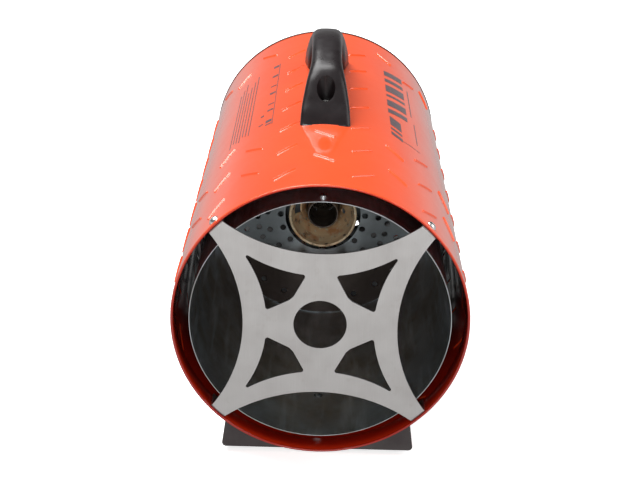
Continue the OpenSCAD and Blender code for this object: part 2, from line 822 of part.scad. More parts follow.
// Folded sheet-metal box under the barrel, open at the top where the barrel closes it.
module base_box() {
    inner_l = base_l - 2 * box_sheet;
    color([0.3, 0.29, 0.28]) difference() {
        union() {
            difference() {
                base_prism(0, base_depth, base_l);
                base_prism(box_sheet, base_depth + box_sheet, inner_l);
                // opening in the rear wall, closed by the control panel
                base_prism(10, panel_depth - 3, 6);
                // opening in the floor, closed by the bottom plate
                at(base_depth + flange, flange - base_w / 2, 0)
                    cube([base_w - 2 * flange, base_l - 2 * flange, 2 * box_z]);
            }
            // saddle straps that follow the barrel
            intersection() {
                base_prism(0.5, base_depth + 0.5, base_l - 1);
                for (depth = [base_depth + box_sheet - 0.2, panel_depth - box_sheet - strap_w + 0.2])
                    in_barrel(depth) tube(barrel_r + 1.3, barrel_r, strap_w);
            }
        }
        in_barrel(base_depth - cut) cylinder(r = barrel_r + gap, h = base_l + 2 * cut);
        for (p = panel_screw_places())
            at(panel_depth - 4, p[0], p[1]) rotate([-90, 0, 0]) cylinder(d = 4, h = 8);
        for (depth = [base_depth + 9, panel_depth - 9])
            on_barrel(barrel_screw_angles, depth, barrel_r - 3) cylinder(d = 4.2, h = 8);
        for (p = feet_places()) at(p[1], p[0]) cylinder(d = 6, h = 12);
        for (p = base_screw_places()) at(p[1], p[0]) cylinder(d = 4, h = 12);
    }
}

function feet_places() = [for (s = [-1, 1], depth = [base_depth + foot_inset, panel_depth - foot_inset])
    [s * foot_x, depth]];
function base_screw_places() = [for (s = [-1, 1], depth = [base_depth + 60, panel_depth - 60])
    [s * (base_w / 2 - 17), depth]];
function panel_screw_places() = [for (s = [-1, 1], p = [[59, 14], [50, 62]]) [s * p[0], p[1]]];

module bottom_plate() {
    margin = 10;
    color([0.3, 0.29, 0.28]) difference() {
        at(base_depth + margin, margin - base_w / 2, box_z + box_sheet)
            cube([base_w - 2 * margin, base_l - 2 * margin, 1]);
        for (p = feet_places()) at(p[1], p[0]) cylinder(d = 6, h = 12);
        for (p = base_screw_places()) at(p[1], p[0]) cylinder(d = 4, h = 12);
        // cooling slots
        for (i = [0 : 6]) at(base_depth + 70 + i * 10, -25, 0) cube([50, 4, 12]);
    }
}

module base_screws() {
    color("silver") for (p = base_screw_places())
        at(p[1], p[0], box_z) rotate([180, 0, 0]) pan_screw(3.9, 7, 7, 2);
}

// Screws from inside the barrel through the saddle straps, with their nuts.
module barrel_screws() {
    color("silver") for (depth = [base_depth + 9, panel_depth - 9]) {
        on_barrel(barrel_screw_angles, depth, shell_in_r - 0.1) rotate([180, 0, 0]) pan_screw(4, 8, 8, 2);
        on_barrel(barrel_screw_angles, depth, barrel_r + 1.5) hex_nut(7, 4 + gap, 3);
    }
}

module rubber_feet() {
    color([0.08, 0.08, 0.08]) for (p = feet_places()) at(p[1], p[0]) {
        cylinder(d1 = 14, d2 = 16, h = feet_h);
        cylinder(d = 5.8, h = feet_h + 5);
        translate([0, 0, feet_h + 2.1]) cylinder(d1 = 8, d2 = 5, h = 4);
    }
}

// ---- controls ------------------------------------------------------------------------------

module through_panel(x, z, d) {
    at(panel_depth - cut, x, z) rotate([-90, 0, 0]) cylinder(d = d, h = panel_t + 2 * cut);
}

module control_panel() {
    color([0.16, 0.16, 0.17]) difference() {
        base_prism(0, panel_depth, panel_t);
        in_barrel(panel_depth - cut) cylinder(r = barrel_r + 0.4, h = panel_t + 2 * cut);
        for (p = panel_screw_places()) through_panel(p[0], p[1], 4);
        through_panel(0, piezo_z, 18.2);
        through_panel(valve_x, button_z, 12);
        through_panel(valve_x, inlet_z, 14.2);
        through_panel(switch_x, gland_z, 12.2);
        at(panel_depth - cut, switch_x - 6.6, switch_z - 9.6) cube([13.2, panel_t + 2 * cut, 19.2]);
    }
}

module panel_screws() {
    color("silver") for (p = panel_screw_places())
        at(panel_face, p[0], p[1]) rotate([-90, 0, 0]) pan_screw(3.9, 7, 7, 2);
}

// Switch housing with a bezel, and a round cavity in which the rocker tips.
module power_switch_body() {
    color([0.1, 0.1, 0.1]) difference() {
        union() {
            at(panel_face, switch_x - 7.5, switch_z - 10.5) cube([15, 2, 21]);
            at(panel_face - 18, switch_x - 6.5, switch_z - 9.5) cube([13, 19, 19]);
            for (z = [-6, 0, 6]) at(panel_face - 25, switch_x - 2.4, switch_z + z - 0.4) cube([4.8, 8, 0.8]);
        }
        at(rocker_pivot, switch_x, switch_z) rotate([0, 90, 0]) {
            cylinder(r = rocker_r + 0.3, h = 10.6, center = true);
            cylinder(r = 1.2 + fit, h = 12.4, center = true, $fn = 32);
        }
    }
}

// Rocker, resting with its lower end pressed in.
module power_switch_rocker() {
    color([0.75, 0.1, 0.08]) at(rocker_pivot, switch_x, switch_z)
        rotate([rocker_tilt, 0, 0]) {
            difference() {
                rotate([0, 90, 0]) cylinder(r = rocker_r, h = 10, center = true);
                for (s = [-1, 1]) rotate([s * rocker_tilt, 0, 0])
                    translate([-10, 3.8, s > 0 ? 0 : -20]) cube([20, 20, 20]);
                translate([-10, -22, -10]) cube([20, 20, 20]);
            }
            rotate([0, 90, 0]) cylinder(r = 1.2, h = 12, center = true, $fn = 32);
        }
}

function piezo_front() = panel_face - 46;

module piezo_body() {
    color([0.12, 0.12, 0.12]) at(0, 0, piezo_z) difference() {
        union() {
            translate([0, piezo_front(), 0]) rotate([-90, 0, 0]) cylinder(r = 9, h = 48.4);
            translate([0, panel_face, 0]) rotate([-90, 0, 0]) cylinder(r = 12, h = 2.4);
            translate([0, panel_depth - 5, 0]) rotate([-90, 0, 0]) cylinder(d = 24, h = 5, $fn = 6);
        }
        translate([0, panel_face - 15, 0]) rotate([-90, 0, 0]) cylinder(r = 7 + fit, h = 30);
    }
}

module piezo_button() {
    color([0.75, 0.1, 0.08]) at(panel_face - 5, 0, piezo_z) rotate([-90, 0, 0]) difference() {
        cylinder(r = 7, h = 20);
        translate([0, 0, 20 + 26]) sphere(27);
    }
}

// Brass safety valve behind the panel.
module gas_valve_body() {
    color("darkgoldenrod") difference() {
        union() {
            at(valve_front + 8, valve_x - 14, inlet_z - 10) cube([28, valve_back - valve_front - 8, 46]);
            at(valve_front, valve_x, 30) rotate([-90, 0, 0]) cylinder(d = 14, h = 9, $fn = 6);
            at(valve_front, -24, 50) rotate([-90, 0, 0]) cylinder(d = 9, h = 9, $fn = 6);
            at(valve_back - 1, valve_x, button_z) rotate([-90, 0, 0]) cylinder(r = 7, h = 4);
        }
        at(valve_back - 14, valve_x, button_z) rotate([-90, 0, 0]) cylinder(r = 4 + fit, h = 30);
    }
}

// Push button of the safety valve, held in while the flame is lit.
module gas_valve_button() {
    color([0.75, 0.1, 0.08]) at(0, valve_x, button_z) difference() {
        union() {
            translate([0, valve_back - 5, 0]) rotate([-90, 0, 0]) cylinder(r = 4, h = 22);
            translate([0, panel_face + 7, 0]) rotate([-90, 0, 0]) cylinder(r = 10, h = 14);
        }
        translate([0, panel_face + 21 + 38, 0]) sphere(39.5);
    }
}

// Gas inlet: a threaded spigot with a hexagon, screwed into the valve through the panel.
module gas_inlet_fitting() {
    color("gold") at(0, valve_x, inlet_z) rotate([-90, 0, 0]) difference() {
        union() {
            translate([0, 0, valve_back]) cylinder(r = 7, h = panel_face - valve_back + 1);
            translate([0, 0, panel_face]) cylinder(d = 22, h = 8, $fn = 6);
            translate([0, 0, panel_face + 8]) cylinder(r = 8.3, h = 20);
        }
        translate([0, 0, valve_back + 2]) cylinder(r = 3.5, h = 60);
    }
}

module cable_gland() {
    color([0.1, 0.1, 0.1]) at(0, switch_x, gland_z) rotate([-90, 0, 0]) difference() {
        union() {
            translate([0, 0, panel_face - 11]) cylinder(r = 6, h = 12);
            translate([0, 0, panel_depth - 5]) cylinder(d = 18, h = 4.8, $fn = 6);
            translate([0, 0, panel_face]) cylinder(d = 18, h = 5, $fn = 6);
            translate([0, 0, panel_face + 5]) cylinder(r1 = 8, r2 = 5.5, h = 10);
        }
        translate([0, 0, panel_face - 20]) cylinder(r = 3.5, h = 60);
    }
}

// Screw terminals on the bottom plate.
module terminal_block() {
    color("ivory") at(200, 12, box_z + box_sheet + 1) difference() {
        union() {
            cube([30, 22, 10]);
            for (x = [1, 11, 21]) translate([x, 3, 9]) cube([8, 16, 7]);
        }
        for (x = [5, 15, 25], y = [7, 15]) translate([x, y, 10]) cylinder(d = 3.6, h = 10, $fn = 32);
    }
}

// ---- nodes ---------------------------------------------------------------------------------

outer_shell();
handle();
handle_screws();
handle_nuts();
front_guard();
guard_screws();
combustion_chamber();
seam_rivets();
chamber_spacers();
chamber_rivets();
burner_plate();
burner_cup();
mixer_tube();
burner_bracket();
gas_jet();
gas_pipe();
electrode_bracket();
igniter_insulator();
igniter_rod();
thermocouple();
thermocouple_lead();
ignition_lead();
overheat_thermostat();
motor_bracket();
bracket_screws();
motor_stator();
motor_coil();
motor_bridges();
motor_bearings();
motor_screws();
motor_lead();
motor_shaft();
motor_rotor();
fan_wheel();
fan_nut();
rear_guard();
rear_guard_screws();
grommets();
base_box();
bottom_plate();
base_screws();
barrel_screws();
rubber_feet();
control_panel();
panel_screws();
power_switch_body();
power_switch_rocker();
piezo_body();
piezo_button();
gas_valve_body();
gas_valve_button();
gas_inlet_fitting();
cable_gland();
terminal_block();
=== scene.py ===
"""Looks of the portable gas heater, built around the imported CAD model."""

import math

import bmesh
import bpy
import numpy as np
from mathutils import Euler, Matrix, Vector, geometry


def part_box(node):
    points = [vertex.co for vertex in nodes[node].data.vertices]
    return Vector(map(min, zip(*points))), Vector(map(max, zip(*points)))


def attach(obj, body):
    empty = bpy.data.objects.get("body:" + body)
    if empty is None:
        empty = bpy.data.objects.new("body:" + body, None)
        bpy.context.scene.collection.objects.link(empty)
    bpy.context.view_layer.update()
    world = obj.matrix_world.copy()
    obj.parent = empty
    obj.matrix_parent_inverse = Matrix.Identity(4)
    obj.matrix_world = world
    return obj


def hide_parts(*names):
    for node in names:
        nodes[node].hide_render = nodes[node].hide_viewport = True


MM = 0.001

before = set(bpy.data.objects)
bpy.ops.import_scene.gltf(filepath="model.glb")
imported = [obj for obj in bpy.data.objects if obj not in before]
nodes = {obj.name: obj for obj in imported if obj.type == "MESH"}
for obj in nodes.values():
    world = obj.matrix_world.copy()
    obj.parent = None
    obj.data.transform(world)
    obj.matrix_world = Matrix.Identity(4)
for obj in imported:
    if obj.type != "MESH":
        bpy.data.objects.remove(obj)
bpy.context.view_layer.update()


def node_span(name, axis):
    """Lowest and highest place of a CAD node along axis 0, 1 or 2, in millimetres."""
    return [round(corner[axis] / MM, 2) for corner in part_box(name)]


# Sizes in millimetres. "Depth" is the distance behind the barrel's front rim.
FRONT_Y, REAR_Y = node_span("outer_shell", 1)
BARREL_L = REAR_Y - FRONT_Y
BARREL_R = node_span("outer_shell", 0)[1]
AXIS_Z = node_span("outer_shell", 2)[1] - BARREL_R
SHEET = 0.8
CHAMBER_R = node_span("combustion_chamber", 0)[1]
CHAMBER_Y = node_span("combustion_chamber", 1)[0]
CUP_R = node_span("burner_cup", 0)[1]
TUBE_R = node_span("mixer_tube", 0)[1]
HANDLE_MID = sum(node_span("handle", 1)) / 2 - FRONT_Y   # depth of the grip's middle
RECESS_REACH = 60.5       # from the grip's middle to the screw recess in each leg
RECESS_R = 6.0
RECESS_FLOOR = 98.0       # height above the axis


# ---- small helpers --------------------------------------------------------------------------


def on_axis(x, depth, up):
    """A point in metres, from millimetres to the right, behind the front rim and above the axis."""
    return (x * MM, (FRONT_Y + depth) * MM, (AXIS_Z + up) * MM)


def on_barrel(angle, depth, radius):
    """A point in metres on a circle about the barrel's axis. The angle is in degrees, from the top and
    clockwise as seen from the front."""
    turn = math.radians(angle)
    return on_axis(radius * math.sin(turn), depth, radius * math.cos(turn))


def add_to_scene(name, data):
    """Puts a mesh, light or camera into the scene as an object."""
    made = bpy.data.objects.new(name, data)
    bpy.context.scene.collection.objects.link(made)
    return made


def new_piece(name, verts, faces, material):
    """A flat-shaded mesh on the heater's body."""
    mesh = bpy.data.meshes.new(name)
    mesh.from_pydata(verts, [], faces)
    mesh.materials.append(material)
    piece = add_to_scene(name, mesh)
    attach(piece, "heater")
    return piece


# ---- materials ------------------------------------------------------------------------------


class Surface:
    """A node material that starts from a plain Principled shader and adds detail to it."""

    def __init__(self, name, color, roughness, metallic=0.0, **sockets):
        self.material = bpy.data.materials.new(name)
        self.material.use_nodes = True
        self.tree = self.material.node_tree
        self.shader = self.tree.nodes["Principled BSDF"]
        self.shader.inputs["Base Color"].default_value = (*color, 1)
        self.shader.inputs["Roughness"].default_value = roughness
        self.shader.inputs["Metallic"].default_value = metallic
        for socket, value in sockets.items():
            self.shader.inputs[socket.replace("_", " ")].default_value = value
        self.color = color
        self.normal = None
        self.coords = self.tree.nodes.new("ShaderNodeTexCoord").outputs["Object"]

    def node(self, kind, **values):
        made = self.tree.nodes.new(kind)
        for key, value in values.items():
            setattr(made, key, value)
        return made

    def link(self, source, target):
        self.tree.links.new(source, target)

    def stretched(self, scale):
        """The object's coordinates, multiplied along each axis."""
        mapping = self.node("ShaderNodeMapping")
        mapping.inputs["Scale"].default_value = scale
        self.link(self.coords, mapping.inputs["Vector"])
        return mapping.outputs["Vector"]

    def noise(self, size_mm, detail=4.0, stretch=(1, 1, 1)):
        """Noise whose features are about size_mm across, from 0 to 1."""
        made = self.node("ShaderNodeTexNoise")
        made.inputs["Scale"].default_value = 1 / (size_mm * MM)
        made.inputs["Detail"].default_value = detail
        self.link(self.stretched(stretch), made.inputs["Vector"])
        return made.outputs["Fac"]

    def from_axis(self):
        """Distance from the barrel's axis, in millimetres."""
        moved = self.node("ShaderNodeMapping")
        moved.inputs["Location"].default_value = (0, 0, -AXIS_Z)
        moved.inputs["Scale"].default_value = (1 / MM, 0, 1 / MM)
        self.link(self.coords, moved.inputs["Vector"])
        length = self.node("ShaderNodeVectorMath", operation="LENGTH")
        self.link(moved.outputs["Vector"], length.inputs["Vector"])
        return length.outputs["Value"]

    def beyond(self, axis, start_mm):
        """Distance in millimetres past a plane, along X, Y or Z."""
        split = self.node("ShaderNodeSeparateXYZ")
        self.link(self.stretched((1 / MM, 1 / MM, 1 / MM)), split.inputs["Vector"])
        return self.math("SUBTRACT", split.outputs[axis], start_mm)

    def spread(self, value, low, high, to_low=0.0, to_high=1.0):
        """Maps low..high of a value to to_low..to_high, held at both ends."""
        made = self.node("ShaderNodeMapRange")
        made.inputs["From Min"].default_value = low
        made.inputs["From Max"].default_value = high
        made.inputs["To Min"].default_value = to_low
        made.inputs["To Max"].default_value = to_high
        self.link(value, made.inputs["Value"])
        return made.outputs["Result"]

    def math(self, operation, *values):
        """One step of arithmetic on numbers or on other nodes' results."""
        made = self.node("ShaderNodeMath", operation=operation)
        for socket, value in zip(made.inputs, values):
            if isinstance(value, (int, float)):
                socket.default_value = value
            else:
                self.link(value, socket)
        return made.outputs["Value"]

    def tint(self, color, amount):
        """Mixes another colour over the base colour by an amount from 0 to 1."""
        target = self.shader.inputs["Base Color"]
        made = self.node("ShaderNodeMix", data_type="RGBA")
        made.inputs["A"].default_value = (*self.color, 1)
        if target.is_linked:
            self.link(target.links[0].from_socket, made.inputs["A"])
        made.inputs["B"].default_value = (*color, 1)
        self.link(amount, made.inputs["Factor"])
        self.link(made.outputs["Result"], target)
        return self

    def rough(self, value):
        """Takes the roughness from another node's result."""
        self.link(value, self.shader.inputs["Roughness"])
        return self

    def bump(self, value, depth_mm):
        """Adds relief on top of any that is there."""
        made = self.node("ShaderNodeBump")
        made.inputs["Strength"].default_value = 1.0
        made.inputs["Distance"].default_value = depth_mm * MM
        self.link(value, made.inputs["Height"])
        if self.normal:
            self.link(self.normal, made.inputs["Normal"])
        self.normal = made.outputs["Normal"]
        self.link(self.normal, self.shader.inputs["Normal"])
        return self


def shell_paint():
    """Glossy powder coat under a clear skin, with faint dust. Inside the barrel, painted shade makes it a
    deeper red near the rim and near black further back, and darkens the front rim's lower half."""
    look = Surface("shell_paint", (0.93, 0.102, 0.023), 0.4, Specular_IOR_Level=0.12, Coat_Weight=1.0,
                   Coat_Roughness=0.05)
    look.tint((0.90, 0.085, 0.018), look.spread(look.noise(60), 0.35, 0.7, 0, 0.6))
    look.tint((0.95, 0.15, 0.05), look.spread(look.noise(1.2, 2), 0.66, 0.8, 0, 0.3))
    # Painted shade inside the barrel: a deeper red than outside, lighter again just behind the front
    # edge, near black further back.
    inside = look.spread(look.from_axis(), BARREL_R - 0.7, BARREL_R - 0.4, 1, 0)
    depth = look.beyond("Y", FRONT_Y)
    look.tint((0.52, 0.016, 0.003), inside)
    look.tint((0.85, 0.05, 0.010), look.math("MULTIPLY", inside, look.spread(depth, 1, 7, 0.5, 0)))
    # Painted shade: the front rim darker towards the bottom.
    rim = look.spread(depth, 0.6, 1.8, 0.92, 0)
    low = look.spread(look.beyond("Z", AXIS_Z), 0, 60, 1, 0)
    look.tint((0.36, 0.010, 0.002), look.math("MULTIPLY", rim, low))
    deep_shade = look.spread(depth, 30, 90)
    look.tint((0.035, 0.033, 0.032), look.math("MULTIPLY", inside, deep_shade))
    look.rough(look.spread(look.noise(25), 0.3, 0.7, 0.28, 0.4))
    look.bump(look.noise(2.2, 1), 0.005)
    return look


def base_paint():
    """Satin grey-black powder coat with cloudy wear and dust."""
    look = Surface("base_paint", (0.033, 0.023, 0.024), 0.45)
    look.tint((0.09, 0.085, 0.08), look.spread(look.noise(30), 0.45, 0.75, 0, 0.5))
    look.tint((0.16, 0.15, 0.14), look.spread(look.noise(0.9, 2), 0.68, 0.8, 0, 0.3))
    look.rough(look.spread(look.noise(12), 0.3, 0.7, 0.38, 0.55))
    look.bump(look.noise(0.8, 2), 0.02)
    return look


def guard_black():
    """Black coated wire and sheet, slightly patchy."""
    look = Surface("guard_black", (0.018, 0.018, 0.019), 0.42)
    look.tint((0.05, 0.05, 0.052), look.spread(look.noise(14), 0.45, 0.75, 0, 0.6))
    look.rough(look.spread(look.noise(6), 0.3, 0.7, 0.34, 0.5))
    look.bump(look.noise(0.9, 2), 0.02)
    return look


def bright_sheet():
    """Satin stainless sheet with a fine rolled grain, finger marks and faint stains."""
    look = Surface("bright_sheet", (0.50, 0.485, 0.475), 0.42, metallic=1.0)
    look.tint((0.44, 0.42, 0.41), look.spread(look.noise(22), 0.42, 0.72, 0, 0.8))
    look.tint((0.40, 0.37, 0.35), look.spread(look.noise(5, 5), 0.6, 0.75, 0, 0.35))
    grain = look.noise(0.35, 3, stretch=(1, 1, 0.02))
    look.tint((0.58, 0.57, 0.56), look.spread(grain, 0.5, 0.75, 0, 0.3))
    look.rough(look.spread(look.noise(9), 0.3, 0.7, 0.38, 0.5))
    look.bump(grain, 0.003)
    return look


def chamber_steel():
    """Aluminised sheet: grey with smoky patches and a dull front edge. The burner plate is darker, and
    darker still towards the bottom of its lower half."""
    look = Surface("chamber_steel", (0.63, 0.68, 0.71), 0.4, metallic=1.0)
    look.tint((0.42, 0.42, 0.40), look.spread(look.noise(26), 0.4, 0.7))
    look.tint((0.86, 0.92, 0.97), look.spread(look.noise(9, 3, stretch=(1, 0.15, 1)), 0.5, 0.7, 0, 0.8))
    plate = look.spread(look.from_axis(), CHAMBER_R - 1.2, CHAMBER_R - 0.7, 1, 0)
    look.tint((0.15, 0.165, 0.17), look.math("MULTIPLY", plate, 0.93))
    # The burner plate darker towards its bottom.
    darker_low_half = look.spread(look.beyond("Z", AXIS_Z), -36, -18, 0.9, 0)
    look.tint((0.045, 0.029, 0.022), look.math("MULTIPLY", plate, darker_low_half))
    look.tint((0.20, 0.19, 0.18), look.spread(look.beyond("Y", CHAMBER_Y), 0.7, 1.1, 0.45, 0))
    look.rough(look.spread(look.noise(10), 0.3, 0.7, 0.28, 0.42))
    look.bump(look.noise(16, 2), 0.06)
    return look


def heat_steel():
    """Steel that runs hot: pale straw scale, stained brown. A painted highlight makes it lighter towards
    the cup's lip, painted shade darker towards the tube, and it is near black at the tube.
    """
    look = Surface("heat_steel", (0.98, 0.65, 0.35), 0.36, metallic=0.35)
    # Painted highlight: lighter towards the cup's lip.
    look.tint((1.0, 0.84, 0.58), look.spread(look.from_axis(), CUP_R - 9.5, CUP_R - 2, 0, 0.6))
    # Painted shade: darker towards the tube, deep in the bowl.
    look.tint((0.20, 0.09, 0.05), look.spread(look.from_axis(), TUBE_R + 1.5, TUBE_R + 5.5, 0.7, 0))
    look.tint((0.70, 0.30, 0.10), look.spread(look.noise(9), 0.48, 0.66, 0, 0.75))
    look.tint((0.16, 0.07, 0.035), look.spread(look.noise(5, 5), 0.58, 0.72, 0, 0.8))
    look.tint((1.0, 0.90, 0.72), look.spread(look.noise(3, 5), 0.56, 0.72, 0, 0.7))
    # Near black on and next to the tube.
    look.tint((0.10, 0.08, 0.065), look.spread(look.from_axis(), TUBE_R + 0.2, TUBE_R + 2.5, 0.95, 0))
    look.rough(look.spread(look.noise(4), 0.3, 0.7, 0.32, 0.6))
    look.bump(look.noise(0.9, 4), 0.02)
    return look


def plain_metal(name, color, roughness, dull):
    look = Surface(name, color, roughness, metallic=1.0)
    look.tint(dull, look.spread(look.noise(4), 0.45, 0.7, 0, 0.6))
    look.rough(look.spread(look.noise(2.5), 0.3, 0.7, roughness * 0.8, roughness * 1.3))
    look.bump(look.noise(0.5, 3), 0.004)
    return look


def brass():
    """Bright brass with dull patches, but sooty on the injector at the end of the mixer tube."""
    look = plain_metal("brass", (0.70, 0.50, 0.20), 0.28, (0.45, 0.30, 0.12))
    near_axis = look.spread(look.from_axis(), TUBE_R + 1, TUBE_R + 1.5, 1, 0)
    in_front = look.spread(look.beyond("Y", FRONT_Y), 235, 240, 1, 0)
    return look.tint((0.05, 0.04, 0.032), look.math("MULTIPLY", near_axis, in_front))


def plain_plastic(name, color, worn, roughness, grain_mm=0.35, grain_depth=0.008):
    look = Surface(name, color, roughness)
    look.tint(worn, look.spread(look.noise(12), 0.45, 0.75, 0, 0.35))
    look.rough(look.spread(look.noise(7), 0.3, 0.7, roughness * 0.85, roughness * 1.2))
    look.bump(look.noise(grain_mm, 2), grain_depth)
    return look


def handle_plastic():
    """Black moulding; painted shade makes it near black and less shiny inside the two screw recesses."""
    look = plain_plastic("handle_plastic", (0.014, 0.0105, 0.0115), (0.042, 0.036, 0.038), 0.31)
    across = look.beyond("X", 0)
    from_mid = look.math("ABSOLUTE", look.beyond("Y", FRONT_Y + HANDLE_MID))
    along = look.math("SUBTRACT", from_mid, RECESS_REACH)
    squared = look.math("ADD", look.math("MULTIPLY", across, across), look.math("MULTIPLY", along, along))
    inside = look.spread(look.math("SQRT", squared), RECESS_R - 0.2, RECESS_R + 0.1, 1, 0)
    # Painted shade: the screw recesses near black, with their reflections turned down.
    look.tint((0.004, 0.002, 0.002), inside)
    look.link(look.spread(inside, 0, 1, 0.3, 0.04), look.shader.inputs["Specular IOR Level"])
    return look


def lamination():
    """Stacked motor sheets: fine lines along the stack and traces of rust."""
    look = Surface("lamination", (0.10, 0.10, 0.11), 0.45, metallic=1.0)
    look.tint((0.20, 0.13, 0.08), look.spread(look.noise(6), 0.5, 0.7, 0, 0.5))
    wave = look.node("ShaderNodeTexWave", bands_direction="Y")
    wave.inputs["Scale"].default_value = 320
    look.link(look.coords, wave.inputs["Vector"])
    look.tint((0.32, 0.32, 0.33), look.spread(wave.outputs["Fac"], 0.6, 1, 0, 0.5))
    look.rough(look.spread(look.noise(5), 0.3, 0.7, 0.4, 0.6))
    look.bump(wave.outputs["Fac"], 0.04)
    return look


def coil_tape():
    """Red tape wound around the motor's coil."""
    look = Surface("coil_tape", (0.38, 0.05, 0.02), 0.5)
    look.tint((0.25, 0.03, 0.015), look.spread(look.noise(8), 0.4, 0.7))
    wave = look.node("ShaderNodeTexWave", bands_direction="Z")
    wave.inputs["Scale"].default_value = 60
    look.link(look.coords, wave.inputs["Vector"])
    look.rough(look.spread(look.noise(5), 0.3, 0.7, 0.4, 0.6))
    look.bump(wave.outputs["Fac"], 0.06)
    return look


SLOTS = {
    "shell_paint": shell_paint(),
    "base_paint": base_paint(),
    "guard_black": guard_black(),
    "bright_sheet": bright_sheet(),
    "chamber_steel": chamber_steel(),
    "heat_steel": heat_steel(),
    "plated_steel": plain_metal("plated_steel", (0.66, 0.66, 0.65), 0.26, (0.45, 0.44, 0.42)),
    "lamination": lamination(),
    "bronze": plain_metal("bronze", (0.42, 0.24, 0.10), 0.4, (0.28, 0.16, 0.08)),
    "brass": brass(),
    "copper": plain_metal("copper", (0.78, 0.37, 0.22), 0.28, (0.42, 0.20, 0.12)),
    "fan_sheet": plain_metal("fan_sheet", (0.60, 0.61, 0.62), 0.34, (0.45, 0.45, 0.46)),
    "coil_tape": coil_tape(),
    "handle_plastic": handle_plastic(),
    "black_plastic": plain_plastic("black_plastic", (0.020, 0.020, 0.021), (0.05, 0.05, 0.05), 0.38),
    "red_plastic": plain_plastic("red_plastic", (0.50, 0.022, 0.015), (0.36, 0.02, 0.012), 0.28),
    "ivory_plastic": plain_plastic("ivory_plastic", (0.70, 0.64, 0.50), (0.55, 0.48, 0.36), 0.4),
    "ceramic": plain_plastic("ceramic", (0.80, 0.77, 0.70), (0.62, 0.58, 0.50), 0.22, 1.5, 0.01),
    "rubber": plain_plastic("rubber", (0.022, 0.022, 0.022), (0.06, 0.058, 0.055), 0.65, 0.6, 0.02),
    "silicone": plain_plastic("silicone", (0.62, 0.60, 0.56), (0.45, 0.42, 0.38), 0.45),
}

# Width in millimetres of the rounding given to the edges of each CAD node that shows.
EDGE_ROUNDING = {
    "front_guard": 0.22, "combustion_chamber": 0.2, "burner_plate": 0.25, "rear_guard": 0.25,
    "base_box": 0.35, "control_panel": 0.3, "bottom_plate": 0.25, "guard_screws": 0.12,
    "rear_guard_screws": 0.12, "handle_screws": 0.15, "panel_screws": 0.12, "base_screws": 0.12,
    "power_switch_body": 0.3, "power_switch_rocker": 0.3, "piezo_body": 0.35, "piezo_button": 0.5,
    "gas_valve_button": 0.6, "gas_inlet_fitting": 0.35, "cable_gland": 0.35, "rubber_feet": 0.4,
    "fan_wheel": 0.25, "fan_nut": 0.25, "motor_stator": 0.2, "motor_coil": 1.2, "mixer_tube": 0.2,
    "electrode_bracket": 0.2, "igniter_insulator": 0.3, "bracket_screws": 0.12, "gas_jet": 0.2,
}


def finish_cad_nodes():
    """Gives each CAD node the material of its slot, and rounds the edges of those that show."""
    for name, node in nodes.items():
        slot = node.data.materials[0].name.split(".")[0]
        node.data.materials[0] = SLOTS[slot].material
        if name not in EDGE_ROUNDING:
            continue
        node.data.attributes.remove(node.data.attributes["custom_normal"])
        node.data.shade_smooth()
        weld = node.modifiers.new("weld", "WELD")
        weld.merge_threshold = 0.002 * MM
        bevel = node.modifiers.new("bevel", "BEVEL")
        bevel.width = EDGE_ROUNDING[name] * MM
        bevel.segments = 2
        bevel.limit_method = "ANGLE"
        bevel.angle_limit = math.radians(35)
        normals = node.modifiers.new("normals", "WEIGHTED_NORMAL")
        normals.keep_sharp = True


# ---- barrel ---------------------------------------------------------------------------------

COLUMN_DEG = 15.0
CELLS = 6                 # mesh cells across a column of ribs
ROW_PITCH = 43.4
ROW_CELLS = 12            # mesh cells along the pitch of two ribs
STEP = ROW_PITCH / ROW_CELLS
EVEN_FIRST = 45.2         # depth of the first rib in an even column
ODD_FIRST = EVEN_FIRST - ROW_PITCH / 2
ROWS = 7
GRID_FIRST = EVEN_FIRST - ROW_PITCH
GRID_LINES = int((BARREL_L - 1 - GRID_FIRST) / STEP) + 1
RIB_L = 18.4
RIB_HALF_W = 1.2
RIB_H = 0.85
RIB_SLANT = math.radians(41)
RING_SHARES = (0.2, 0.4, 0.6, 0.8, 1.0, 1.4)   # distances of the rings around a rib's ridge
ARC_CELLS = 6
SIDE_CELLS = 8

# Places without ribs: two angles from the top, on both sides, and two depths.
PLAIN_PLACES = {
    "prints": (20, 65, 118, 280),
    "front_foot": (0, 8, 100, 144),
    "rear_foot": (0, 8, 224, 268),
    "bracket_screws": (85, 95, 252, 276),
    "base": (145, 181, 85, 325),
}


def has_rib(angle, depth):
    return not any(low <= abs(angle) < high and front < depth < rear
                   for low, high, front, rear in PLAIN_PLACES.values())


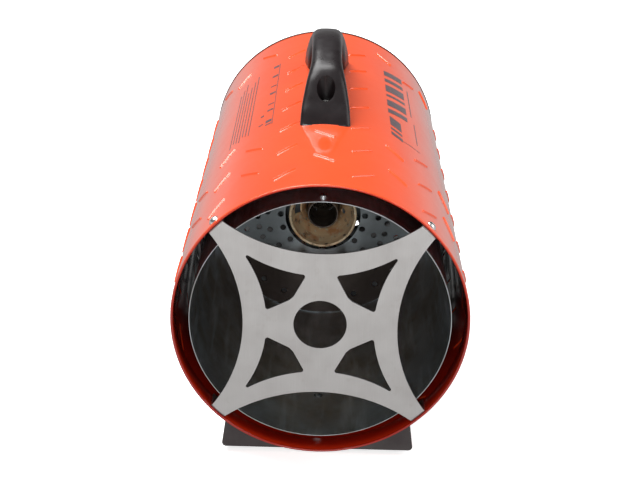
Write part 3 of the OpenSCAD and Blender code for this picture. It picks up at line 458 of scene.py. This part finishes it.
class Rib:
    """One pressed rib, in a column's flat coordinates: arc length across and depth along. Its ridge is
    a straight line, and it leans one way or the other (1 or -1)."""

    half = RIB_L / 2 - RIB_HALF_W      # half the length of the ridge

    def __init__(self, across, depth, lean):
        self.centre = np.array([across, depth])
        self.along = np.array([math.cos(RIB_SLANT), lean * math.sin(RIB_SLANT)])
        self.side = np.array([-self.along[1], self.along[0]])

    def ring(self, distance):
        """Points around the ridge at a distance from it, in order."""
        points = []
        for end in (1, -1):
            for i in range(ARC_CELLS + 1):
                turn = math.pi * i / ARC_CELLS - math.pi / 2
                out = end * (math.cos(turn) * self.along + math.sin(turn) * self.side)
                points.append(self.centre + end * self.half * self.along + distance * out)
            start = self.centre + end * self.half * self.along + end * distance * self.side
            for i in range(1, SIDE_CELLS):
                points.append(start - end * 2 * self.half * i / SIDE_CELLS * self.along)
        return points

    def ridge(self):
        return [self.centre + self.half * (2 * i / SIDE_CELLS - 1) * self.along
                for i in range(SIDE_CELLS + 1)]

    def offset(self, point):
        """Vector from the nearest point of the ridge."""
        away = point - self.centre
        reach = max(-self.half, min(self.half, away @ self.along))
        return away - reach * self.along

    def height_and_slope(self, point):
        """Height of the pressing at a point, and how steeply it rises across and along."""
        away = self.offset(point)
        distance = float(np.hypot(*away))
        if distance >= RIB_HALF_W:
            return 0.0, np.zeros(2)
        turn = math.pi * distance / RIB_HALF_W
        height = RIB_H * (0.5 + 0.5 * math.cos(turn))
        if distance == 0:
            return height, np.zeros(2)
        steep = -RIB_H * 0.5 * math.sin(turn) * math.pi / RIB_HALF_W
        return height, steep * away / distance


def column_ribs(column):
    """The ribs of one column. Even and odd columns lean opposite ways, half a pitch apart."""
    angle = column * COLUMN_DEG
    signed = angle if angle <= 180 else angle - 360
    even = column % 2 == 0
    first = EVEN_FIRST if even else ODD_FIRST
    middle = COLUMN_DEG / 2 * math.radians(1) * BARREL_R
    return [Rib(middle, first + n * ROW_PITCH, -1 if even else 1)
            for n in range(ROWS) if has_rib(signed, first + n * ROW_PITCH)]


def column_mesh(ribs):
    """Triangulates one column of the barrel's sheet in flat coordinates."""
    width = COLUMN_DEG * math.radians(1) * BARREL_R
    points, edges = [], []
    for rib in ribs:
        for share in RING_SHARES:
            ring = rib.ring(share * RIB_HALF_W)
            first = len(points)
            points += ring
            edges += [(first + i, first + (i + 1) % len(ring)) for i in range(len(ring))]
        first = len(points)
        points += rib.ridge()
        edges += [(first + i, first + i + 1) for i in range(SIDE_CELLS)]
    clear = RING_SHARES[-1] * RIB_HALF_W + 0.9      # the plain grid keeps this far from a rib
    for i in range(CELLS + 1):
        for k in range(GRID_LINES):
            point = np.array([width * i / CELLS, GRID_FIRST + STEP * k])
            on_border = i in (0, CELLS) or k in (0, GRID_LINES - 1)
            if on_border or all(np.hypot(*rib.offset(point)) > clear for rib in ribs):
                points.append(point)
    made = geometry.delaunay_2d_cdt([Vector(p) for p in points], edges, [], 0, 1e-4)
    return [np.array(v) for v in made[0]], made[2]


def barrel_piece():
    """The barrel's painted sheet: pressed ribs, a folded front hem and a blunt rear edge."""
    verts, normals, faces, known = [], [], [], {}

    def add(angle, depth, radius, normal=(0, 0, 0)):
        key = (round(angle % 360, 3) % 360, round(depth, 3), round(radius, 3))
        if key not in known:
            known[key] = len(verts)
            verts.append(on_barrel(angle, depth, radius))
            normals.append(normal)
        return known[key]

    def surface_normal(angle, slope):
        turn = math.radians(angle)
        out = np.array([math.sin(turn), 0, math.cos(turn)])
        around = np.array([math.cos(turn), 0, -math.sin(turn)])
        normal = out - slope[0] * around - slope[1] * np.array([0, 1, 0])
        return normal / np.linalg.norm(normal)

    hem_line = GRID_FIRST + 3 * STEP      # the sheet's inner face shows from here on, behind the hem
    for column in range(int(360 / COLUMN_DEG)):
        ribs = column_ribs(column)
        start = (column - 0.5) * COLUMN_DEG
        flat, triangles = column_mesh(ribs)
        outer, inner = [], []
        for point in flat:
            angle = start + math.degrees(point[0] / BARREL_R)
            height, slope = 0.0, np.zeros(2)
            for rib in ribs:
                if abs(point[1] - rib.centre[1]) < ROW_PITCH / 2:
                    height, slope = rib.height_and_slope(point)
            normal = surface_normal(angle, slope)
            outer.append(add(angle, point[1], BARREL_R + height, normal))
            inner.append(add(angle, point[1], BARREL_R + height - SHEET, -normal))
        for a, b, c in triangles:
            faces.append((outer[a], outer[b], outer[c]))
            if min(flat[i][1] for i in (a, b, c)) > hem_line - 0.01:
                faces.append((inner[a], inner[c], inner[b]))

    def bridge(profile):
        """Revolves a profile of (depth, radius) points and joins it to the rings at its ends."""
        count = int(360 / COLUMN_DEG) * CELLS
        turn = 360 / count
        first = -COLUMN_DEG / 2
        for near, far in zip(profile, profile[1:]):
            for k in range(count):
                left = first + turn * k
                right = first + turn * (k + 1)
                faces.append((add(left, *near), add(left, *far), add(right, *far), add(right, *near)))

    inner_r = BARREL_R - SHEET
    hem_r = inner_r - SHEET
    bend = [(SHEET - SHEET * math.sin(math.pi * i / 12), inner_r + SHEET * math.cos(math.pi * i / 12))
            for i in range(13)]
    hem_end = 14.0                        # where the folded sheet stops, with a rounded edge
    lip = [(hem_end - 0.4, hem_r), (hem_end - 0.1, hem_r + 0.15), (hem_end, hem_r + 0.4),
           (hem_end - 0.1, inner_r - 0.1), (hem_line, inner_r)]
    bridge([(GRID_FIRST, BARREL_R)] + bend + lip)
    last = GRID_FIRST + STEP * (GRID_LINES - 1)
    blunt = 0.25
    bridge([(last, inner_r), (BARREL_L - blunt, inner_r), (BARREL_L, inner_r + blunt),
            (BARREL_L, BARREL_R - blunt), (BARREL_L - blunt, BARREL_R), (last, BARREL_R)])

    piece = new_piece("barrel_skin", verts, faces, SLOTS["shell_paint"].material)
    piece.data.shade_smooth()
    piece.data.normals_split_custom_set_from_vertices([tuple(n) for n in normals])
    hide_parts("outer_shell")


# ---- handle ---------------------------------------------------------------------------------

# Half of the handle's side view, from the foot to the middle of the grip: depth and height
# above the axis of its outer face, the same of its inner face, and half its width.
HANDLE_STATIONS = [
    ((106.0, 88.0), (134.0, 88.0), 17.2),
    ((111.4, 95.6), (136.6, 93.2), 16.6),
    ((117.0, 101.6), (138.8, 97.0), 15.7),
    ((122.8, 108.4), (141.2, 100.6), 14.4),
    ((128.3, 114.8), (144.2, 104.2), 13.0),
    ((133.7, 119.4), (148.2, 107.6), 11.7),
    ((140.5, 122.2), (153.6, 110.4), 10.7),
    ((149.5, 124.4), (160.0, 112.3), 10.25),
    ((160.0, 126.5), (168.0, 114.0), 10.25),
    ((172.0, 128.0), (176.0, 115.1), 10.25),
    ((184.0, 128.5), (184.0, 115.5), 10.25),
]
LEG_STATIONS = 4.5        # the section changes from the foot's to the grip's over these
FOOT_TAPER = 0.24         # how much narrower a foot's inner face is than its outer face
FOOT_POWER = 7.5          # squareness of the section: 2 is an ellipse
GRIP_POWER = 3.2
RING_POINTS = 64
CELLS_PER_STATION = 5


def spline(points, share):
    """Catmull-Rom through rows of numbers; share runs from 0 to the number of spans."""
    last = len(points) - 2
    i = min(int(share), last)
    t = share - i
    p1, p2 = points[i], points[i + 1]
    p0 = points[i - 1] if i else 2 * p1 - p2
    p3 = points[i + 2] if i < last else 2 * p2 - p1
    return 0.5 * (2 * p1 + (p2 - p0) * t + (2 * p0 - 5 * p1 + 4 * p2 - p3) * t * t
                  + (3 * p1 - p0 - 3 * p2 + p3) * t ** 3)


def rounded_square(value, power):
    """Pushes a cosine or sine out from a circle towards a square."""
    return math.copysign(abs(value) ** (2 / power), value)


def handle_rings():
    """Closed rings of (x, depth, height) from the front foot to the rear one."""
    rows = [np.array([*outer, *inner, half]) for outer, inner, half in HANDLE_STATIONS]
    mirrored = [np.array([2 * HANDLE_MID - r[0], r[1], 2 * HANDLE_MID - r[2], r[3], r[4]])
                for r in rows[-2::-1]]
    rows += mirrored
    spans = len(rows) - 1
    rings = []
    for k in range(spans * CELLS_PER_STATION + 1):
        share = k / CELLS_PER_STATION
        row = spline(rows, share)
        outer, inner, half = row[:2], row[2:4], row[4]
        from_end = min(share, spans - share)
        taper = FOOT_TAPER * max(0.0, 1 - from_end / LEG_STATIONS)
        power = FOOT_POWER + (GRIP_POWER - FOOT_POWER) * min(1.0, from_end / LEG_STATIONS)
        ring = []
        for i in range(RING_POINTS):
            turn = 2 * math.pi * i / RING_POINTS
            across = rounded_square(math.cos(turn), power)
            up = rounded_square(math.sin(turn), power)
            x = half * across * (1 - taper * (1 - up) / 2)
            spot = (outer + inner) / 2 + up * (outer - inner) / 2
            ring.append([x, *spot])
        rings.append(ring)
    for ring in (rings[0], rings[-1]):
        for point in ring:
            point[2] = math.sqrt((BARREL_R + 0.05) ** 2 - point[0] ** 2)
    return rings


def handle_piece():
    """Moulded handle: one lofted arch with a screw recess cut into each leg."""
    rings = handle_rings()
    verts = [on_axis(*point) for ring in rings for point in ring]
    faces = []
    for r in range(len(rings) - 1):
        for i in range(RING_POINTS):
            j = (i + 1) % RING_POINTS
            a, b = r * RING_POINTS, (r + 1) * RING_POINTS
            faces.append((a + i, a + j, b + j, b + i))
    faces.append(tuple(range(RING_POINTS))[::-1])
    faces.append(tuple(range(len(verts) - RING_POINTS, len(verts))))
    body = new_piece("handle_shell", verts, faces, SLOTS["handle_plastic"].material)
    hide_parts("handle")
    cutters = [recess_cutter(HANDLE_MID - RECESS_REACH), recess_cutter(HANDLE_MID + RECESS_REACH)]
    for cutter in cutters:
        cut = body.modifiers.new("recess", "BOOLEAN")
        cut.object = cutter
        cut.solver = "EXACT"
    rounding = body.modifiers.new("rounding", "BEVEL")
    rounding.width = 0.3 * MM
    rounding.segments = 3
    rounding.limit_method = "ANGLE"
    rounding.angle_limit = math.radians(33)
    bpy.context.view_layer.update()
    finished = body.evaluated_get(bpy.context.evaluated_depsgraph_get())
    body.data = bpy.data.meshes.new_from_object(finished)
    body.data.shade_smooth()
    body.modifiers.clear()
    for cutter in cutters:
        bpy.data.objects.remove(cutter)


def recess_cutter(depth):
    """An upright cylinder that cuts a screw recess, from its floor to above the handle."""
    mesh = bpy.data.meshes.new("cutter")
    shape = bmesh.new()
    height = 40 * MM
    place = Matrix.Translation(Vector(on_axis(0, depth, RECESS_FLOOR)) + Vector((0, 0, height / 2)))
    bmesh.ops.create_cone(shape, cap_ends=True, segments=48, radius1=RECESS_R * MM,
                          radius2=RECESS_R * MM, depth=height, matrix=place)
    shape.to_mesh(mesh)
    shape.free()
    return add_to_scene("cutter", mesh)


# ---- printed bars ---------------------------------------------------------------------------


def printed_bars(name, bars, material):
    """Thin film on the barrel. A bar is (first angle, last angle, front depth, rear depth, skew):
    skew is how much further back its last angle lies."""
    verts, faces = [], []
    for first_angle, last_angle, front, rear, skew in bars:
        across = max(2, int(abs(last_angle - first_angle)) + 1)
        first = len(verts)
        for layer in (0.03, 0.09):
            for i in range(across + 1):
                share = i / across
                angle = first_angle + (last_angle - first_angle) * share
                for depth in (front, rear):
                    verts.append(on_barrel(angle, depth + skew * share, BARREL_R + layer))
        stride = 2 * (across + 1)
        for i in range(across):
            low, high = first + 2 * i, first + stride + 2 * i
            faces.append((high, high + 1, high + 3, high + 2))
            faces.append((low, low + 2, low + 3, low + 1))
            faces.append((low, high, high + 2, low + 2))
            faces.append((low + 1, low + 3, high + 3, high + 1))
        end, top = first + 2 * across, first + stride + 2 * across
        faces.append((first, first + 1, first + stride + 1, first + stride))
        faces.append((end, top, top + 1, end + 1))
    new_piece(name, verts, faces, material)


def print_ink():
    """Dark printing ink, thin in places."""
    look = Surface("print_ink", (0.085, 0.055, 0.065), 0.4, Coat_Weight=0.6, Coat_Roughness=0.1)
    look.tint((0.16, 0.09, 0.085), look.spread(look.noise(3, 4), 0.45, 0.7, 0, 0.6))
    look.rough(look.spread(look.noise(2), 0.3, 0.7, 0.36, 0.5))
    look.bump(look.noise(0.4, 2), 0.004)
    return look.material


# Front depth and length of the wide bars on the right and of the short marks on the left.
WIDE_BARS = ((170, 9), (186, 14), (208, 5), (220, 16), (244, 8), (260, 12))
SHORT_MARKS = ((128, 2), (133, 5), (158, 3), (172, 2), (196, 4), (214, 2), (238, 4), (262, 5))


def prints():
    """Plain bars and lines, without lettering, where the barrel is printed."""
    ink = print_ink()
    right = [(29.4, 35.2, 125, 131, -3), (29.4, 35.2, 136, 140, -3), (29.4, 35.2, 145, 163, -3)]
    right += [(29.0, 40.0, front, front + length, 8) for front, length in WIDE_BARS]
    right += [(35.4, 45.5, 124.4, 125.2, 6), (44.2, 44.7, 143, 186, 0), (43.0, 43.6, 200, 262, 0)]
    left = [(-26.4, -23.6, front, front + length, 1) for front, length in SHORT_MARKS]
    left += [(-23.3, -23.0, 127, 270, 0), (-29.6, -27.6, 132, 134, 1), (-29.2, -27.8, 150, 153, 1)]
    for n in range(7):
        line = -34.8 - 1.7 * n
        left.append((line, line + 0.4, 126 + 3 * (n % 3), 262 - 9 * (n % 4), 0))
    printed_bars("print_right", right, ink)
    printed_bars("print_left", left, ink)


# ---- stage ----------------------------------------------------------------------------------


def stage():
    """A pale floor that reaches the horizon."""
    plate = bpy.data.meshes.new("floor")
    reach = 40.0
    plate.from_pydata([(-reach, -reach, 0), (reach, -reach, 0), (reach, reach, 0), (-reach, reach, 0)],
                      [], [(0, 1, 2, 3)])
    ground = add_to_scene("floor", plate)
    pale = Surface("floor_pale", (0.93, 0.93, 0.93), 0.7, Emission_Color=(1, 1, 1, 1),
                   Emission_Strength=0.72)
    pale.tint((0.90, 0.90, 0.90), pale.spread(pale.noise(400), 0.4, 0.7))
    plate.materials.append(pale.material)
    # The sky's lower half lights the object in the floor's place, so reflections stay controlled.
    ground.visible_diffuse = False
    ground.visible_glossy = False


LIGHT_TARGET = (0, 0, AXIS_Z * MM)


def area_light(name, place, size, power):
    """A softbox that faces the middle of the barrel; metres and watts."""
    light = bpy.data.lights.new(name, "AREA")
    light.shape = "RECTANGLE"
    light.size, light.size_y = size
    light.energy = power
    lamp = add_to_scene(name, light)
    lamp.location = place
    lamp.rotation_euler = (Vector(LIGHT_TARGET) - Vector(place)).to_track_quat("-Z", "Y").to_euler()


# Brightness of the studio around the object, by the height of the direction: -1 is straight down.
SKY = [(-1.0, 0.10), (-0.7, 0.2), (-0.45, 0.85), (-0.2, 1.0), (-0.05, 0.9), (0.1, 0.5), (0.3, 0.2),
       (0.5, 0.12), (0.8, 0.25), (1.0, 0.5)]
FRONT_GAIN = 1.35         # the studio is brighter in front of the object than behind it
BACK_GAIN = 0.52
GAIN_REACH = 0.7          # both gains are reached where a direction's Y is this far from 0


def sky():
    """Studio light by direction: the ramp gives it by height, and the gain from front to back."""
    world = bpy.data.worlds.new("studio")
    bpy.context.scene.world = world
    world.use_nodes = True
    tree = world.node_tree
    coords = tree.nodes.new("ShaderNodeTexCoord")
    split = tree.nodes.new("ShaderNodeSeparateXYZ")
    tree.links.new(coords.outputs["Generated"], split.inputs["Vector"])
    half = tree.nodes.new("ShaderNodeMapRange")
    half.inputs["From Min"].default_value = -1
    tree.links.new(split.outputs["Z"], half.inputs["Value"])
    ramp = tree.nodes.new("ShaderNodeValToRGB")
    tree.links.new(half.outputs["Result"], ramp.inputs["Fac"])
    stops = ramp.color_ramp.elements
    while len(stops) < len(SKY):
        stops.new(0.5)
    for stop, (height, brightness) in zip(stops, SKY):
        stop.position = (height + 1) / 2
        stop.color = (brightness, brightness, brightness, 1)
    gain = tree.nodes.new("ShaderNodeMapRange")
    gain.inputs["From Min"].default_value = -GAIN_REACH
    gain.inputs["From Max"].default_value = GAIN_REACH
    gain.inputs["To Min"].default_value = FRONT_GAIN
    gain.inputs["To Max"].default_value = BACK_GAIN
    tree.links.new(split.outputs["Y"], gain.inputs["Value"])
    tree.links.new(ramp.outputs["Color"], tree.nodes["Background"].inputs["Color"])
    tree.links.new(gain.outputs["Result"], tree.nodes["Background"].inputs["Strength"])


def lights():
    """A key light from behind on the left, a fill from the right and a weak one into the barrel."""
    area_light("key", (-0.6, 0.6, 1.9), (1.5, 1.3), 58)
    area_light("right", (1.4, -0.2, 1.1), (1.2, 1.2), 12)
    area_light("into_mouth", (0.0, -1.3, 0.55), (0.5, 0.5), 3.5)
    bpy.context.scene.view_settings.view_transform = "Standard"
    bpy.context.scene.view_settings.look = "None"


# The photograph's viewpoint, solved from the barrel's rim, rear edge and sides: metres and degrees.
CAMERA_PLACE = (0.0004, -0.8571, 0.5077)
CAMERA_DOWN = 23.85
CAMERA_LEFT = 0.14
CAMERA_ROLL = 1.4
CAMERA_LENS = 72.3


def camera():
    data = bpy.data.cameras.new("camera")
    data.lens = CAMERA_LENS
    data.sensor_width = 36
    data.clip_start = 0.05
    view = add_to_scene("camera", data)
    aim = Euler((math.radians(90 - CAMERA_DOWN), 0, math.radians(CAMERA_LEFT))).to_matrix()
    turn = aim @ Matrix.Rotation(math.radians(CAMERA_ROLL), 3, "Z")
    view.matrix_world = Matrix.Translation(CAMERA_PLACE) @ turn.to_4x4()
    bpy.context.scene.camera = view


finish_cad_nodes()
barrel_piece()
handle_piece()
prints()
stage()
sky()
lights()
camera()
